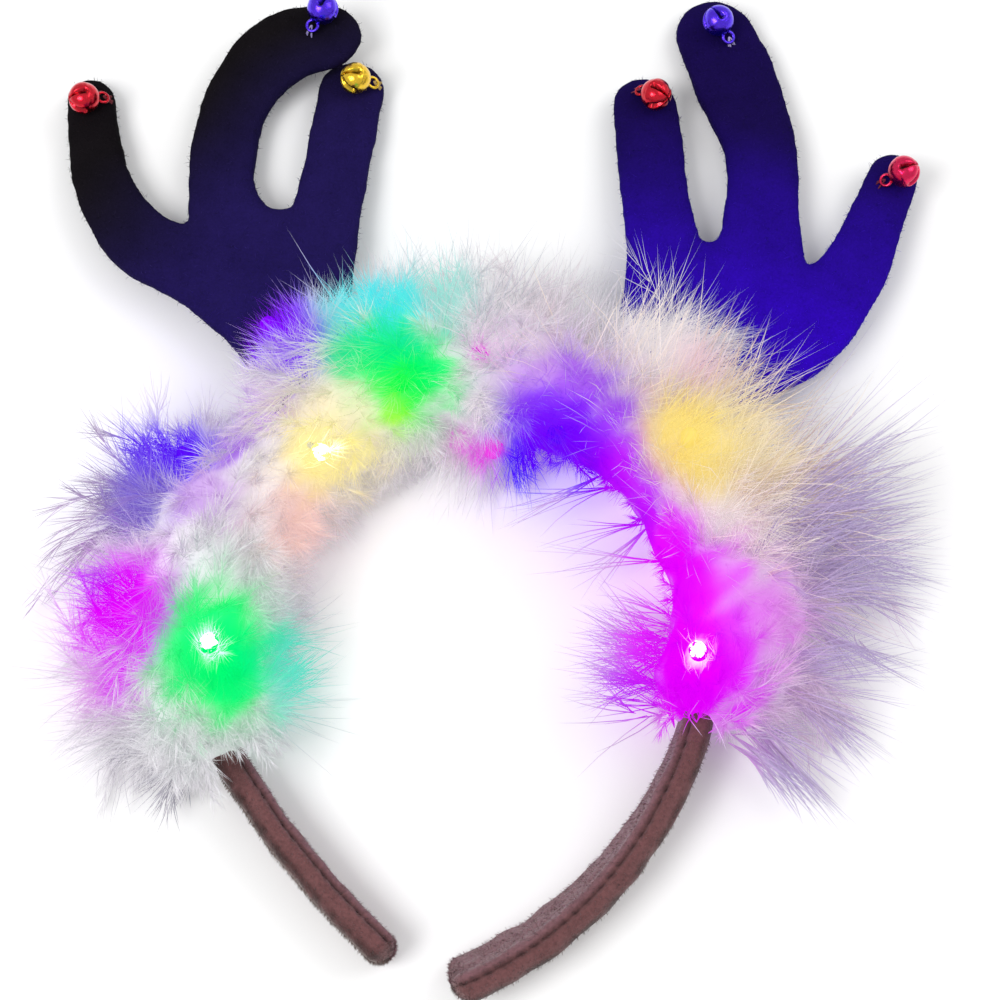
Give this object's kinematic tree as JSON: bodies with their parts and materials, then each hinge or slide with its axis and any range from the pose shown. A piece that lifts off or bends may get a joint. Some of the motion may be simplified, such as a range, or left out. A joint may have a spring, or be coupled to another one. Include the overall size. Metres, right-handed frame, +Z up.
{
  "type": "light-up reindeer antler headband",
  "caption": "Plush headband with padded felt antlers, small jingle bells on the tines and a feather trim that hides coloured lamps; worn on the head, here lying on its side.",
  "frame": {"origin": "on the floor under the middle of the headband's box, as it lies on its side", "axes": "+Z up from the floor, +Y from the band's open end to the antlers, +X to the right antler"},
  "size_m": [0.2342, 0.2782, 0.0493],
  "materials": {
    "band_plush": "short brown pile with a seam of stitches along the inner face",
    "antler_felt": "dark padded felt, near black at the tips, indigo near the lamps",
    "feathers": "white down with fine wisps",
    "wire": "pale insulated wire",
    "bell_red": "bright tinted metal",
    "bell_crimson": "bright tinted metal",
    "bell_violet": "bright tinted metal",
    "bell_gold": "bright gold-coloured metal",
    "lamp_green": "lit lamp",
    "lamp_magenta": "lit lamp",
    "lamp_blue": "lit lamp",
    "lamp_warm_white": "lit lamp",
    "lamp_violet": "lit lamp",
    "lamp_pink": "lit lamp",
    "lamp_yellow": "lit lamp"
  },
  "bodies": {
    "root": {"band": "band_plush", "antler_left": "antler_felt", "antler_right": "antler_felt", "feather_trim": "feathers", "light_wire": "wire", "bell_left_outer": "bell_red", "bell_left_main": "bell_violet", "bell_left_inner": "bell_gold", "bell_right_inner": "bell_red", "bell_right_main": "bell_violet", "bell_right_outer": "bell_crimson", "lamp_01": "lamp_green", "lamp_02": "lamp_magenta", "lamp_03": "lamp_blue", "lamp_04": "lamp_warm_white", "lamp_05": "lamp_violet", "lamp_06": "lamp_green", "lamp_07": "lamp_pink", "lamp_08": "lamp_magenta", "lamp_09": "lamp_blue", "lamp_10": "lamp_yellow", "lamp_11": "lamp_magenta"}
  },
  "joints": []
}
